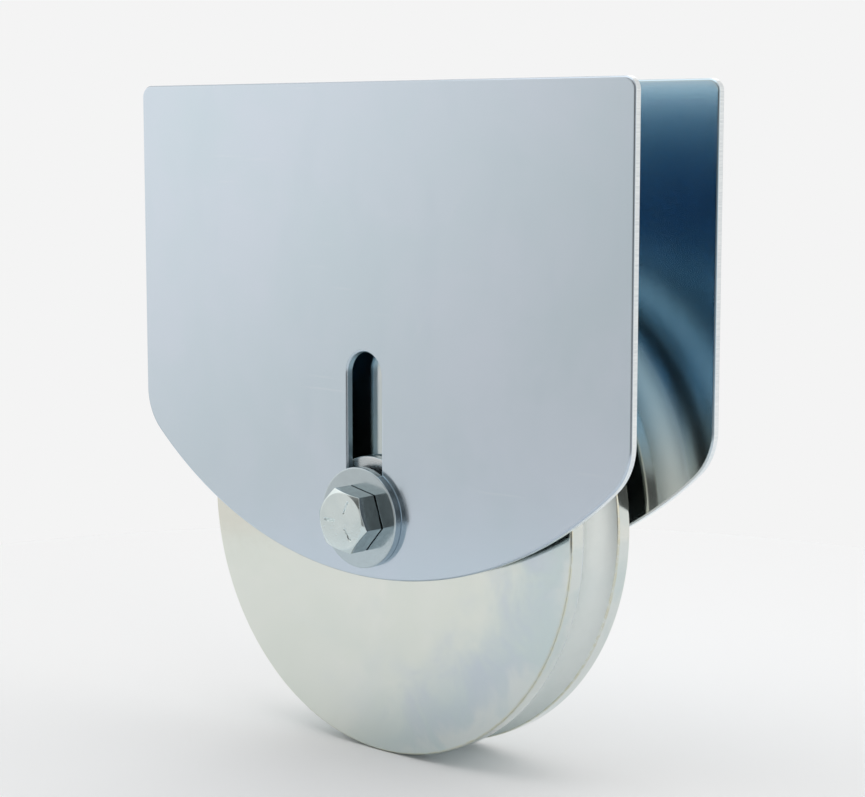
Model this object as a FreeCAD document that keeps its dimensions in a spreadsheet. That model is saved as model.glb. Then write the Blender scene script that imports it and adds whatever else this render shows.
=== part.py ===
"""Sliding gate wheel: a round-grooved steel wheel on two sealed ball bearings, held between two
slotted cheek plates by a tapped axle, stepped collars, washers and hexagon bolts.

Frame: origin at the wheel's centre, X along the rail, Y along the axle, Z up. Pieces that come in
pairs are drawn on the rear side (+Y), and the front one is the same piece turned half round about Z.
"""

import FreeCAD
import Part
import Sketcher
import os

# Driving sizes in millimetres, one sheet cell each
DRIVING_SIZES = {
    # Grooved wheel
    "wheel_diameter": 160.0,
    "wheel_width": 29.5,
    "rail_groove_radius": 10.5,
    "rail_groove_depth": 4.7,
    "rim_chamfer": 0.6,
    "bore_chamfer": 0.8,
    # Cheek plates, heights measured from the axle's lowest place
    "plate_width": 215.0,
    "plate_rise": 140.0,
    "plate_drop": 20.0,
    "plate_thickness": 3.0,
    "wheel_side_gap": 4.5,
    "plate_arc_radius": 150.0,
    "top_corner_radius": 4.0,
    "lower_corner_radius": 20.0,
    "plate_edge_break": 0.4,
    "slot_travel": 46.2,
    # Axle, tapped right through for both bolts
    "axle_diameter": 17.0,
    "axle_end_relief": 0.1,
    "spigot_wall": 0.95,
    "spigot_end_relief": 0.5,
    "spigot_clearance": 0.2,
    "spigot_chamfer": 0.4,
    "thread_clearance": 0.1,
    "thread_countersink": 0.5,
    # Stepped collars between the bearings and the plates
    "collar_diameter": 39.0,
    "collar_running_gap": 1.0,
    "collar_nose_step": 0.55,
    "collar_chamfer": 0.5,
    "collar_clearance": 0.04,
    # Hexagon bolts and flat washers
    "bolt_diameter": 12.7,
    "bolt_length": 19.05,
    "bolt_tip_chamfer": 1.2,
    "head_across_flats": 19.05,
    "head_height": 8.2,
    "head_bevel": 30.0,
    "head_seat_height": 0.4,
    "head_seat_step": 0.35,
    "head_crown_margin": 0.3,
    "front_head_turn": 11.6,
    "rear_head_turn": 38.0,
    "washer_diameter": 33.0,
    "washer_thickness": 2.8,
    "washer_bolt_clearance": 0.5,
    "washer_edge_break": 0.4,
    # Sealed deep groove ball bearings
    "bearing_outside": 35.0,
    "bearing_width": 10.0,
    "bearing_fit": 0.05,
    "bearing_corner": 0.4,
    "ball_diameter": 4.762,
    "ball_count": 10,
    "race_clearance": 0.06,
    "race_depth": 0.931,
    "cage_running_gap": 0.55,
    "cage_side_gap": 0.3,
    "cage_pocket_clearance": 0.1,
    "seal_recess_step": 1.25,
    "seal_recess_depth": 1.4,
    "seal_thickness": 1.0,
    "seal_web": 0.6,
    "seal_rim": 0.7,
    "seal_fit": 0.02,
    "seal_lip_clearance": 0.25,
    # Retaining rings in the wheel's bore
    "circlip_thickness": 1.5,
    "circlip_groove_depth": 1.0,
    "circlip_radial_clearance": 0.05,
    "circlip_side_clearance": 0.1,
    "circlip_band": 3.0,
    "circlip_gap_angle": 30.0,
    "circlip_ear_diameter": 4.6,
    "circlip_ear_hole": 2.0,
}

# How a sketch numbers its origin, its upright axis and the points of a line or an arc
SKETCH_ORIGIN, VERTICAL_AXIS = range(-1, -3, -1)
START, END, CENTRE = range(1, 4)

doc = FreeCAD.newDocument("SlidingGateWheel")
dims = doc.addObject("Spreadsheet::Sheet", "dims")
for row, (alias, size) in enumerate(DRIVING_SIZES.items(), start=1):
    dims.set(f"A{row}", alias)
    dims.set(f"B{row}", str(size))
    dims.setAlias(f"B{row}", alias)
doc.recompute()

# Places that several pieces share, as expressions of the sheet
WHEEL_RADIUS = "dims.wheel_diameter / 2"
WHEEL_FACE = "dims.wheel_width / 2"
GROOVE_MIDDLE = f"{WHEEL_RADIUS} + dims.rail_groove_radius - dims.rail_groove_depth"
BORE_RADIUS = "dims.bearing_outside / 2 + dims.bearing_fit"
AXLE_RADIUS = "dims.axle_diameter / 2"
BOLT_RADIUS = "dims.bolt_diameter / 2"
TAPPED_RADIUS = f"{BOLT_RADIUS} + dims.thread_clearance"
SPIGOT_RADIUS = f"{TAPPED_RADIUS} + dims.spigot_wall"
SLOT_RADIUS = f"{SPIGOT_RADIUS} + dims.spigot_clearance"
COLLAR_STEP = f"{WHEEL_FACE} + dims.collar_running_gap"
PLATE_INSIDE = f"{WHEEL_FACE} + dims.wheel_side_gap"
PLATE_OUTSIDE = f"{PLATE_INSIDE} + dims.plate_thickness"
BOLT_SEAT = f"{PLATE_OUTSIDE} + dims.washer_thickness"
PITCH_RADIUS = "(dims.axle_diameter + dims.bearing_outside) / 4"
RACE_RADIUS = "dims.ball_diameter / 2 + dims.race_clearance"
INNER_SHOULDER = f"{PITCH_RADIUS} - dims.ball_diameter / 2 + dims.race_depth"
OUTER_SHOULDER = f"{PITCH_RADIUS} + dims.ball_diameter / 2 - dims.race_depth"
SEAL_RECESS = f"{OUTER_SHOULDER} + dims.seal_recess_step"
BEARING_MIDDLE = "dims.bearing_width / 2"
CIRCLIP_SEAT = "dims.bearing_outside / 2 + dims.circlip_groove_depth"
CIRCLIP_RADIUS = f"{CIRCLIP_SEAT} - dims.circlip_radial_clearance"

TURNED_ROUND = FreeCAD.Placement(FreeCAD.Vector(), FreeCAD.Rotation(FreeCAD.Vector(0, 0, 1), 180))
SIDES = {"front": TURNED_ROUND, "rear": FreeCAD.Placement()}


def value(expression):
    """The present number of an expression of the sheet."""
    return float(dims.evalExpression(expression))


def origin_feature(body, role):
    """A plane or axis of the body's own origin."""
    return next(item for item in body.Origin.OriginFeatures if item.Role == role)


def new_body(label, placement=FreeCAD.Placement()):
    """An empty body with its label and place."""
    body = doc.addObject("PartDesign::Body", label)
    body.Label = label
    body.Placement = placement
    return body


def new_sketch(body, name, role, offset=None):
    """A sketch on an origin plane, moved along the plane's normal by an expression."""
    sketch = body.newObject("Sketcher::SketchObject", name)
    sketch.AttachmentSupport = [(origin_feature(body, role), "")]
    sketch.MapMode = "FlatFace"
    if offset:
        sketch.setExpression("AttachmentOffset.Base.z", offset)
    return sketch


def bind(sketch, kind, *where, to):
    """A dimension of the sketch, bound to an expression of the sheet."""
    index = sketch.addConstraint(Sketcher.Constraint(kind, *where, value(to)))
    sketch.setExpression(f"Constraints[{index}]", to)


def pin(sketch, geometry, point, across, up):
    """Hold a point of the sketch at expressions of the sheet."""
    bind(sketch, "DistanceX", SKETCH_ORIGIN, START, geometry, point, to=across)
    bind(sketch, "DistanceY", SKETCH_ORIGIN, START, geometry, point, to=up)


def polygon(sketch, corners):
    """Straight sides through corners, each an (across, up) pair of expressions."""
    points = [FreeCAD.Vector(value(across), value(up), 0) for across, up in corners]
    ends = points[1:] + points[:1]
    sides = sketch.addGeometry([Part.LineSegment(a, b) for a, b in zip(points, ends)], False)
    for side, following in zip(sides, sides[1:] + sides[:1]):
        sketch.addConstraint(Sketcher.Constraint("Coincident", side, END, following, START))
    for side, (across, up) in zip(sides, corners):
        pin(sketch, side, START, across, up)


def circle(sketch, across, up, radius):
    """A circle whose centre and radius are expressions of the sheet."""
    middle = FreeCAD.Vector(value(across), value(up), 0)
    ring = sketch.addGeometry(Part.Circle(middle, FreeCAD.Vector(0, 0, 1), value(radius)), False)
    pin(sketch, ring, CENTRE, across, up)
    bind(sketch, "Radius", ring, to=radius)


def turn(body, name, *outlines, kind="PartDesign::Revolution"):
    """Turn outlines of (radius, along the axle) corners about the axle, to add or to cut."""
    sketch = new_sketch(body, name + "_outline", "XY_Plane")
    for corners in outlines:
        polygon(sketch, corners)
    return spin(body, name, sketch, kind)


def spin(body, name, sketch, kind):
    """A full turn of a sketch about the axle."""
    feature = body.newObject(kind, name)
    feature.Profile = sketch
    feature.ReferenceAxis = (sketch, ["V_Axis"])
    feature.Angle = 360.0
    return feature


def round_groove(body, name, radius_at, along, radius):
    """A groove of round section, cut all the way round the axle."""
    sketch = new_sketch(body, name + "_section", "XY_Plane")
    circle(sketch, radius_at, along, radius)
    return spin(body, name, sketch, "PartDesign::Groove")


def pad(body, name, sketch, length, rearwards):
    """Thicken a sketch of the XZ plane, whose normal points to the front."""
    feature = body.newObject("PartDesign::Pad", name)
    feature.Profile = sketch
    feature.setExpression("Length", length)
    feature.Reversed = rearwards
    return feature


def cut_through(body, name, sketch, midplane=True):
    """Cut a sketch right through, to both sides or only along its normal."""
    feature = body.newObject("PartDesign::Pocket", name)
    feature.Profile = sketch
    feature.Type = "ThroughAll"
    feature.Midplane = midplane
    feature.Reversed = not midplane
    return feature


def round_edges(body, name, radius, wanted):
    """Fillet the edges of the body's tip that pass a test."""
    doc.recompute()
    base = body.Tip
    edges = [f"Edge{i}" for i, edge in enumerate(base.Shape.Edges, start=1) if wanted(edge)]
    feature = body.newObject("PartDesign::Fillet", name)
    feature.Base = (base, edges)
    feature.setExpression("Radius", radius)
    return feature


def is_crosswise(edge):
    """True for a straight edge that runs through the plate's thickness."""
    along = edge.Vertexes[-1].Point - edge.Vertexes[0].Point
    return abs(along.y) > value("dims.plate_thickness") / 2


def cheek_plate(side, inside):
    """A laser-cut plate: straight top and sides, an arc below and an upright slot for the axle."""
    body = new_body(side + "_plate")
    body.setExpression("Placement.Base.y", inside)
    top = value("dims.plate_rise")
    half = value("dims.plate_width / 2")
    arc_middle = "dims.plate_arc_radius - dims.plate_drop"
    radius = value("dims.plate_arc_radius")
    middle = FreeCAD.Vector(0, value(arc_middle), 0)
    shoulder = middle.y - (radius**2 - half**2) ** 0.5
    low_left = FreeCAD.Vector(-half, shoulder, 0)
    low_right = FreeCAD.Vector(half, shoulder, 0)
    high_right = FreeCAD.Vector(half, top, 0)
    high_left = FreeCAD.Vector(-half, top, 0)
    belly = Part.Arc(low_left, FreeCAD.Vector(0, middle.y - radius, 0), low_right)

    sketch = new_sketch(body, side + "_plate_outline", "XZ_Plane")
    arc, right, upper, left = sketch.addGeometry(
        [
            belly,
            Part.LineSegment(low_right, high_right),
            Part.LineSegment(high_right, high_left),
            Part.LineSegment(high_left, low_left),
        ],
        False,
    )
    for first, second in ((right, upper), (upper, left)):
        sketch.addConstraint(Sketcher.Constraint("Coincident", first, END, second, START))
    sketch.addConstraint(Sketcher.Constraint("Coincident", arc, END, right, START))
    sketch.addConstraint(Sketcher.Constraint("Coincident", left, END, arc, START))
    sketch.addConstraint(Sketcher.Constraint("Vertical", right))
    sketch.addConstraint(Sketcher.Constraint("Vertical", left))
    pin(sketch, upper, START, "dims.plate_width / 2", "dims.plate_rise")
    pin(sketch, upper, END, "-dims.plate_width / 2", "dims.plate_rise")
    sketch.addConstraint(Sketcher.Constraint("PointOnObject", arc, CENTRE, VERTICAL_AXIS))
    bind(sketch, "DistanceY", SKETCH_ORIGIN, START, arc, CENTRE, to=arc_middle)
    bind(sketch, "Radius", arc, to="dims.plate_arc_radius")
    pad(body, side + "_plate_sheet", sketch, "dims.plate_thickness", rearwards=False)

    halfway_up = (top + shoulder) / 2
    round_edges(
        body,
        side + "_plate_top_corners",
        "dims.top_corner_radius",
        lambda edge: is_crosswise(edge) and edge.CenterOfMass.z > halfway_up,
    )
    round_edges(
        body,
        side + "_plate_lower_corners",
        "dims.lower_corner_radius",
        lambda edge: is_crosswise(edge) and edge.CenterOfMass.z < halfway_up,
    )
    axle_slot(body, side + "_plate_slot")
    round_edges(body, side + "_plate_edges", "dims.plate_edge_break", lambda edge: not is_crosswise(edge))
    return body


def axle_slot(body, name):
    """The upright slot: round ends joined by straight sides, its lower end about the axle."""
    reach = value(SLOT_RADIUS)
    travel = value("dims.slot_travel")
    low = FreeCAD.Vector(0, -reach, 0)
    high = FreeCAD.Vector(0, travel + reach, 0)
    low_left = FreeCAD.Vector(-reach, 0, 0)
    low_right = FreeCAD.Vector(reach, 0, 0)
    high_right = FreeCAD.Vector(reach, travel, 0)
    high_left = FreeCAD.Vector(-reach, travel, 0)
    sketch = new_sketch(body, name + "_outline", "XZ_Plane")
    outline = sketch.addGeometry(
        [
            Part.Arc(low_left, low, low_right),
            Part.LineSegment(low_right, high_right),
            Part.Arc(high_right, high, high_left),
            Part.LineSegment(high_left, low_left),
        ],
        False,
    )
    lower_end, right, upper_end, left = outline
    for first, second in zip(outline, outline[1:] + outline[:1]):
        sketch.addConstraint(Sketcher.Constraint("Tangent", first, END, second, START))
    sketch.addConstraint(Sketcher.Constraint("Coincident", lower_end, CENTRE, SKETCH_ORIGIN, START))
    sketch.addConstraint(Sketcher.Constraint("PointOnObject", upper_end, CENTRE, VERTICAL_AXIS))
    sketch.addConstraint(Sketcher.Constraint("Vertical", right))
    bind(sketch, "DistanceY", SKETCH_ORIGIN, START, upper_end, CENTRE, to="dims.slot_travel")
    bind(sketch, "Radius", lower_end, to=SLOT_RADIUS)
    return cut_through(body, name, sketch)


def grooved_wheel():
    """The turned wheel: flat faces, two lands, a round rail groove and a bore for both bearings."""
    body = new_body("wheel")
    front = f"-{WHEEL_FACE}"
    rear = WHEEL_FACE
    turn(
        body,
        "wheel_blank",
        [
            (BORE_RADIUS, f"{front} + dims.bore_chamfer"),
            (f"{BORE_RADIUS} + dims.bore_chamfer", front),
            (f"{WHEEL_RADIUS} - dims.rim_chamfer", front),
            (WHEEL_RADIUS, f"{front} + dims.rim_chamfer"),
            (WHEEL_RADIUS, f"{rear} - dims.rim_chamfer"),
            (f"{WHEEL_RADIUS} - dims.rim_chamfer", rear),
            (f"{BORE_RADIUS} + dims.bore_chamfer", rear),
            (BORE_RADIUS, f"{rear} - dims.bore_chamfer"),
        ],
    )
    round_groove(body, "wheel_rail_groove", GROOVE_MIDDLE, "0", "dims.rail_groove_radius")
    near = "dims.bearing_width"
    far = "(dims.bearing_width + dims.circlip_thickness + dims.circlip_side_clearance)"
    inner = AXLE_RADIUS
    outer = CIRCLIP_SEAT
    turn(
        body,
        "wheel_circlip_grooves",
        [(inner, near), (outer, near), (outer, far), (inner, far)],
        [(inner, f"-{far}"), (outer, f"-{far}"), (outer, f"-{near}"), (inner, f"-{near}")],
        kind="PartDesign::Groove",
    )
    return body


def tapped_axle():
    """The axle: a ground middle, a spigot that slides in each slot, and one bore for both bolts."""
    body = new_body("axle")
    shoulder = f"{PLATE_INSIDE} - dims.axle_end_relief"
    end = f"{PLATE_OUTSIDE} - dims.spigot_end_relief"
    rear_half = [
        (AXLE_RADIUS, shoulder),
        (SPIGOT_RADIUS, shoulder),
        (SPIGOT_RADIUS, f"{end} - dims.spigot_chamfer"),
        (f"{SPIGOT_RADIUS} - dims.spigot_chamfer", end),
        (f"{TAPPED_RADIUS} + dims.thread_countersink", end),
        (TAPPED_RADIUS, f"{end} - dims.thread_countersink"),
    ]
    front_half = [(radius, f"-({along})") for radius, along in reversed(rear_half)]
    turn(body, "axle_bar", rear_half + front_half)
    return body


def stepped_collar(side):
    """A turned collar: a wide flange against the plate and a nose against the bearing's inner ring."""
    body = new_body(side + "_collar", SIDES[side])
    bore = f"{AXLE_RADIUS} + dims.collar_clearance"
    nose = f"{INNER_SHOULDER} - dims.collar_nose_step"
    flange = "dims.collar_diameter / 2"
    turn(
        body,
        side + "_collar_turning",
        [
            (bore, "dims.bearing_width"),
            (nose, "dims.bearing_width"),
            (nose, COLLAR_STEP),
            (f"{flange} - dims.collar_chamfer", COLLAR_STEP),
            (flange, f"{COLLAR_STEP} + dims.collar_chamfer"),
            (flange, f"{PLATE_INSIDE} - dims.collar_chamfer"),
            (f"{flange} - dims.collar_chamfer", PLATE_INSIDE),
            (bore, PLATE_INSIDE),
        ],
    )
    return body


def flat_washer(side):
    """A stamped washer under the bolt's head, its outer edge broken on the head's side."""
    body = new_body(side + "_washer", SIDES[side])
    bore = f"{BOLT_RADIUS} + dims.washer_bolt_clearance"
    rim = "dims.washer_diameter / 2"
    turn(
        body,
        side + "_washer_stamping",
        [
            (bore, PLATE_OUTSIDE),
            (rim, PLATE_OUTSIDE),
            (rim, f"{BOLT_SEAT} - dims.washer_edge_break"),
            (f"{rim} - dims.washer_edge_break", BOLT_SEAT),
            (bore, BOLT_SEAT),
        ],
    )
    return body


def hexagon_bolt(side):
    """A bolt: chamfered shank with a round seat, hexagon head, and a cone that bevels the head's six corners."""
    body = new_body(side + "_bolt", SIDES[side])
    tip = f"{BOLT_SEAT} - dims.bolt_length"
    seat_radius = "dims.head_across_flats / 2 - dims.head_seat_step"
    underside = f"{BOLT_SEAT} + dims.head_seat_height"
    turn(
        body,
        side + "_bolt_shank",
        [
            ("0", tip),
            (f"{BOLT_RADIUS} - dims.bolt_tip_chamfer", tip),
            (BOLT_RADIUS, f"{tip} + dims.bolt_tip_chamfer"),
            (BOLT_RADIUS, BOLT_SEAT),
            (seat_radius, BOLT_SEAT),
            (seat_radius, underside),
            ("0", underside),
        ],
    )
    corner = "dims.head_across_flats / 2 / cos(30)"
    head_angles = [f"(dims.{side}_head_turn + {60 * k})" for k in range(6)]
    sketch = new_sketch(body, side + "_bolt_hexagon", "XZ_Plane", offset=f"-({underside})")
    polygon(sketch, [(f"{corner} * cos({angle})", f"{corner} * sin({angle})") for angle in head_angles])
    pad(body, side + "_bolt_head", sketch, "dims.head_height - dims.head_seat_height", rearwards=True)
    crown = "(dims.head_across_flats / 2 - dims.head_crown_margin)"
    top = f"{BOLT_SEAT} + dims.head_height"
    beyond = "dims.head_across_flats"
    turn(
        body,
        side + "_bolt_bevel",
        [
            (crown, top),
            (beyond, top),
            (beyond, f"{top} - ({beyond} - {crown}) * tan(dims.head_bevel)"),
        ],
        kind="PartDesign::Groove",
    )
    return body


def ring_section(shoulder, seat, seat_break):
    """Corners of a bearing ring's section: a plain shoulder, and a seat whose two corners are broken."""
    eased = f"{seat} {seat_break}"
    return [
        (shoulder, "0"),
        (eased, "0"),
        (seat, "dims.bearing_corner"),
        (seat, "dims.bearing_width - dims.bearing_corner"),
        (eased, "dims.bearing_width"),
        (shoulder, "dims.bearing_width"),
    ]


def inner_ring(side):
    """The bearing's inner ring, clamped on the axle, with its race."""
    body = new_body(side + "_bearing_inner_ring", SIDES[side])
    bore = f"{AXLE_RADIUS} + dims.bearing_fit"
    turn(body, side + "_inner_ring_blank", ring_section(INNER_SHOULDER, bore, "+ dims.bearing_corner"))
    round_groove(body, side + "_inner_race", PITCH_RADIUS, BEARING_MIDDLE, RACE_RADIUS)
    return body


def outer_ring(side):
    """The bearing's outer ring, pressed in the wheel, with its race and a recess for each seal."""
    body = new_body(side + "_bearing_outer_ring", SIDES[side])
    rim = "dims.bearing_outside / 2"
    turn(body, side + "_outer_ring_blank", ring_section(OUTER_SHOULDER, rim, "- dims.bearing_corner"))
    round_groove(body, side + "_outer_race", PITCH_RADIUS, BEARING_MIDDLE, RACE_RADIUS)
    low_floor = "dims.seal_recess_depth"
    high_floor = "dims.bearing_width - dims.seal_recess_depth"
    turn(
        body,
        side + "_seal_recesses",
        [(PITCH_RADIUS, "0"), (SEAL_RECESS, "0"), (SEAL_RECESS, low_floor), (PITCH_RADIUS, low_floor)],
        [
            (PITCH_RADIUS, high_floor),
            (SEAL_RECESS, high_floor),
            (SEAL_RECESS, "dims.bearing_width"),
            (PITCH_RADIUS, "dims.bearing_width"),
        ],
        kind="PartDesign::Groove",
    )
    return body


def ball_cage(side):
    """A moulded cage: a ring with one round pocket for each ball."""
    body = new_body(side + "_bearing_cage", SIDES[side])
    inside = f"{INNER_SHOULDER} + dims.cage_running_gap"
    outside = f"{OUTER_SHOULDER} - dims.cage_running_gap"
    low = "dims.seal_recess_depth + dims.cage_side_gap"
    high = f"dims.bearing_width - ({low})"
    turn(body, side + "_cage_ring", [(inside, low), (outside, low), (outside, high), (inside, high)])
    sketch = new_sketch(body, side + "_cage_pocket_outline", "YZ_Plane")
    circle(sketch, BEARING_MIDDLE, "0", "dims.ball_diameter / 2 + dims.cage_pocket_clearance")
    pocket = cut_through(body, side + "_cage_pocket", sketch, midplane=False)
    pattern = body.newObject("PartDesign::PolarPattern", side + "_cage_pockets")
    pattern.Originals = [pocket]
    pattern.Axis = (origin_feature(body, "Y_Axis"), [""])
    pattern.Angle = 360.0
    pattern.setExpression("Occurrences", "dims.ball_count")
    body.Tip = pattern
    return body


def ball_set(side):
    """The bearing's balls, evenly spaced round the pitch circle."""
    balls = []
    for k in range(int(value("dims.ball_count"))):
        ball = doc.addObject("Part::Sphere", f"{side}_ball_{k + 1}")
        ball.setExpression("Radius", "dims.ball_diameter / 2")
        angle = f"({k} * 360 / dims.ball_count)"
        ball.setExpression("Placement.Base.x", f"{PITCH_RADIUS} * cos({angle})")
        ball.setExpression("Placement.Base.y", BEARING_MIDDLE)
        ball.setExpression("Placement.Base.z", f"{PITCH_RADIUS} * sin({angle})")
        balls.append(ball)
    group = doc.addObject("Part::Compound", side + "_bearing_balls")
    group.Label = side + "_bearing_balls"
    group.Links = balls
    group.Placement = SIDES[side]
    return group


def bearing_seal(side, name, floor, outwards):
    """A rubber seal: a rim seated in the outer ring, a thin web, and a lip beside the inner ring."""
    body = new_body(f"{side}_bearing_{name}_seal", SIDES[side])
    rim = f"{SEAL_RECESS} - dims.seal_fit"
    lip = f"{INNER_SHOULDER} + dims.seal_lip_clearance"
    face = f"{floor} {outwards} dims.seal_thickness"
    web = f"{floor} {outwards} dims.seal_web"
    turn(
        body,
        f"{side}_{name}_seal_moulding",
        [
            (lip, floor),
            (rim, floor),
            (rim, face),
            (f"{rim} - dims.seal_rim", face),
            (f"{rim} - 2 * dims.seal_rim", web),
            (f"{lip} + 2 * dims.seal_rim", web),
            (f"{lip} + dims.seal_rim", face),
            (lip, face),
        ],
    )
    return body


def circlip(side):
    """A retaining ring: an open band with two ears, each with a hole for the pliers."""
    body = new_body(side + "_circlip", SIDES[side])
    seat = "-dims.bearing_width"
    band_inside = f"{CIRCLIP_RADIUS} - dims.circlip_band"
    ear_radius = "dims.circlip_ear_diameter / 2"
    ear_place = f"({CIRCLIP_RADIUS} - dims.circlip_band)"
    ear_angles = [f"(90 {sign} dims.circlip_gap_angle / 2)" for sign in ("+", "-")]
    ear_middles = [(f"{ear_place} * cos({a})", f"{ear_place} * sin({a})") for a in ear_angles]

    band = new_sketch(body, side + "_circlip_band_outline", "XZ_Plane", offset=seat)
    circle(band, "0", "0", CIRCLIP_RADIUS)
    circle(band, "0", "0", band_inside)
    pad(body, side + "_circlip_band", band, "dims.circlip_thickness", rearwards=True)

    opening = new_sketch(body, side + "_circlip_gap_outline", "XZ_Plane", offset=seat)
    mouth = "dims.bearing_outside"
    polygon(
        opening,
        [("0", "0")] + [(f"{mouth} * cos({a})", f"{mouth} * sin({a})") for a in reversed(ear_angles)],
    )
    cut_through(body, side + "_circlip_gap", opening)

    for number, (across, up) in enumerate(ear_middles, start=1):
        ear = new_sketch(body, f"{side}_circlip_ear_{number}_outline", "XZ_Plane", offset=seat)
        circle(ear, across, up, ear_radius)
        pad(body, f"{side}_circlip_ear_{number}", ear, "dims.circlip_thickness", rearwards=True)
    holes = new_sketch(body, side + "_circlip_holes_outline", "XZ_Plane", offset=seat)
    for across, up in ear_middles:
        circle(holes, across, up, "dims.circlip_ear_hole / 2")
    cut_through(body, side + "_circlip_holes", holes)
    return body


def bearing(side):
    """Every piece of one sealed bearing."""
    return [
        inner_ring(side),
        outer_ring(side),
        ball_cage(side),
        ball_set(side),
        bearing_seal(side, "inboard", "dims.seal_recess_depth", "-"),
        bearing_seal(side, "outboard", "dims.bearing_width - dims.seal_recess_depth", "+"),
    ]


pieces = [
    cheek_plate("front", f"-({PLATE_INSIDE})"),
    cheek_plate("rear", PLATE_OUTSIDE),
    grooved_wheel(),
    tapped_axle(),
]
for side in SIDES:
    pieces += [stepped_collar(side), flat_washer(side), hexagon_bolt(side), circlip(side)]
    pieces += bearing(side)
doc.recompute()

# Every object has to be sound, and every cut has to remove material
for item in doc.Objects:
    if {"Invalid", "Error"} & set(item.State):
        raise RuntimeError(f"{item.Label} did not recompute: {item.State}")
    if item.TypeId in ("PartDesign::Groove", "PartDesign::Pocket"):
        if item.Shape.Volume >= item.BaseFeature.Shape.Volume:
            raise RuntimeError(f"{item.Label} cuts nothing")
for piece in pieces:
    if piece.Shape.isNull() or not piece.Shape.isValid():
        raise RuntimeError(f"{piece.Label} has no valid shape")

os.makedirs("parts", exist_ok=True)
for piece in pieces:
    piece.Shape.exportStep(f"parts/{piece.Label}.step")
    box = piece.Shape.optimalBoundingBox()
    print(f"{piece.Label}: {len(piece.Shape.Solids)} solid, {piece.Shape.Volume:.0f} mm3, "
          f"X {box.XMin:.2f}..{box.XMax:.2f} Y {box.YMin:.2f}..{box.YMax:.2f} Z {box.ZMin:.2f}..{box.ZMax:.2f}")
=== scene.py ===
# %% [markdown]
# # A sliding gate wheel
# A steel wheel with a round groove runs on a rail and carries a heavy gate. It turns on two ball
# bearings between two zinc-plated cheek plates, and one bolt through each plate clamps the axle
# anywhere along an upright slot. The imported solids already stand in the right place. This lesson
# loads them as a fixed frame, gives the visible pieces softer edges and finer detail as numpy
# surfaces, and then finishes, lights and frames them.

# %% Load the frame
import math
import bpy
import numpy as np
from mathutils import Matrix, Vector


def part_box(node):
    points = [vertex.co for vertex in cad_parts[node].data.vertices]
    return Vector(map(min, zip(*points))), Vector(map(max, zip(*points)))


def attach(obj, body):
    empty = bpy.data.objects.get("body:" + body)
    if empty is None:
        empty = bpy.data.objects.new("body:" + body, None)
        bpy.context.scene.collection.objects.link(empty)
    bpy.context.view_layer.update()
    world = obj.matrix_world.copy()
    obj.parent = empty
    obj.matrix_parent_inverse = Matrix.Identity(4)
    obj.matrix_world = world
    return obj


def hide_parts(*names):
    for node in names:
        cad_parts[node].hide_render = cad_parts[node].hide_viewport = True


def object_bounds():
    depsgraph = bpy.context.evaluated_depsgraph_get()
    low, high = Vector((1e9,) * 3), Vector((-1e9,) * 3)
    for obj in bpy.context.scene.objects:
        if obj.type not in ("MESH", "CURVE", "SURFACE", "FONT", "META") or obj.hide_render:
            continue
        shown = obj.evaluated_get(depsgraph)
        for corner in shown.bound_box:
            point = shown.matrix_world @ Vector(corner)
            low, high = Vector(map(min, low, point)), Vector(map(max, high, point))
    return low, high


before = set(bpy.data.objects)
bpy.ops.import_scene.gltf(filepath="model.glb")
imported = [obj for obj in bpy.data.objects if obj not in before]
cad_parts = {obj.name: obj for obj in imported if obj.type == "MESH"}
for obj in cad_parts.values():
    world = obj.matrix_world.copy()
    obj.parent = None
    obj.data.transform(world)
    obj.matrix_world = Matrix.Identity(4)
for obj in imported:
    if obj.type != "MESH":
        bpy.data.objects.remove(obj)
cad_box = [list(corner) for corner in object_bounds()]
MM = 0.001
print("CAD box in metres:", cad_box)

# %% [markdown]
# ## From a grid of points to a closed skin
# Every new piece is a grid: rows run along a profile and columns run round the piece. Four
# neighbours make one face. Modelling operators could build the same shapes, but a grid keeps each
# size in a formula, and the way round of the faces can be tested: a closed skin whose faces point
# outwards has a positive signed volume.

# %% Skins and where they go
SHARP_ANGLE = math.radians(38)


def skin(name, points, loop_rows=True):
    """Joins a grid (rows, columns, 3) in millimetres into a closed mesh in metres.

    The last column meets the first. With loop_rows the last row meets the first as well; without it
    the first and last rows are each drawn together to the point in their middle. The volume is the
    sum over triangles of a . (b x c) / 6, and a negative one turns every face round.
    """
    rows, columns = points.shape[:2]
    vertices = points.reshape(-1, 3) * MM
    order = np.arange(rows * columns).reshape(rows, columns)
    order = np.vstack([order, order[:1]]) if loop_rows else order
    order = np.hstack([order, order[:, :1]])
    corners = [order[:-1, :-1], order[1:, :-1], order[1:, 1:], order[:-1, 1:]]
    quads = np.stack(corners, axis=-1).reshape(-1, 4)
    fans = np.empty((0, 3), dtype=int)
    if not loop_rows:
        pole = np.full(columns, len(vertices))
        first_fan = np.stack([pole, order[0, :-1], order[0, 1:]], axis=-1)
        last_fan = np.stack([pole + 1, order[-1, 1:], order[-1, :-1]], axis=-1)
        fans = np.vstack([first_fan, last_fan])
        vertices = np.vstack([vertices, points[[0, -1]].mean(axis=1) * MM])
    triangles = np.vstack([quads[:, [0, 1, 2]], quads[:, [0, 2, 3]], fans])
    a, b, c = (vertices[triangles[:, corner]] for corner in range(3))
    volume = np.einsum("ij,ij->", a, np.cross(b, c)) / 6
    turn = 1 if volume > 0 else -1
    mesh = bpy.data.meshes.new(name)
    mesh.from_pydata(vertices.tolist(), [], quads[:, ::turn].tolist() + fans[:, ::turn].tolist())
    mesh.shade_smooth()
    mesh.set_sharp_from_angle(angle=SHARP_ANGLE)
    return mesh


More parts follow.
